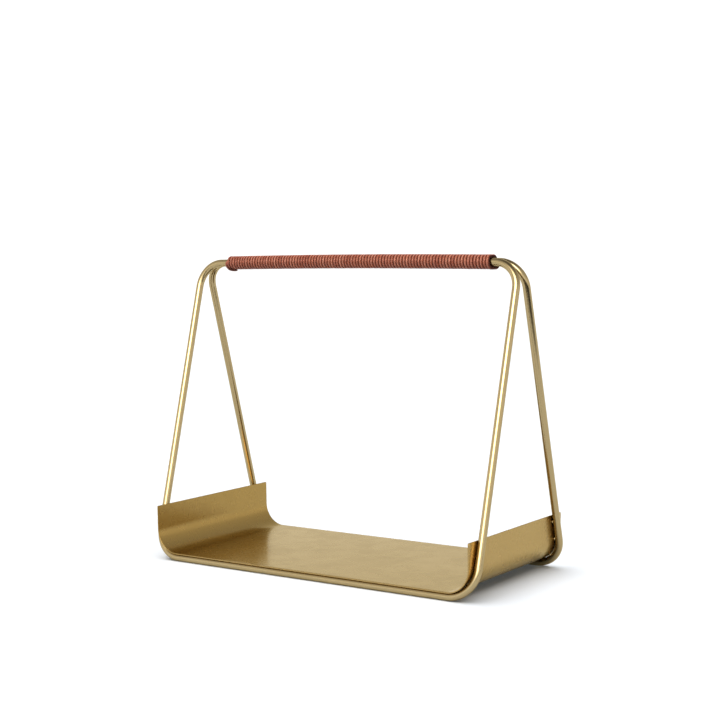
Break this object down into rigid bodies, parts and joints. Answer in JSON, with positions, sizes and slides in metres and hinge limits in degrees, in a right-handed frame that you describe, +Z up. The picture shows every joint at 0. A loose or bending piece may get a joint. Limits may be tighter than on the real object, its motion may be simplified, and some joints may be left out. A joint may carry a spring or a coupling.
{
  "type": "magazine rack",
  "caption": "Free-standing magazine rack: two rounded wire loops lean together into a lace-wrapped handle over a U-shaped sheet tray.",
  "frame": {"origin": "on the floor, under the middle of the rack", "axes": "+X along the handle and the tray, +Y from the front loop to the rear loop, +Z up"},
  "size_m": [0.414, 0.195, 0.3335],
  "materials": {
    "brass_rod": "satin brass rod with long soft highlights",
    "brass_sheet": "finely brushed satin brass sheet",
    "leather": "reddish brown leather lace, slightly waxed",
    "weld": "small bright weld beads"
  },
  "bodies": {
    "root": {"front_loop": "brass_rod", "rear_loop": "brass_rod", "tray": "brass_sheet", "handle_lace": "leather", "front_loop_tacks": "weld", "rear_loop_tacks": "weld", "top_bar_tacks": "weld"}
  },
  "joints": []
}
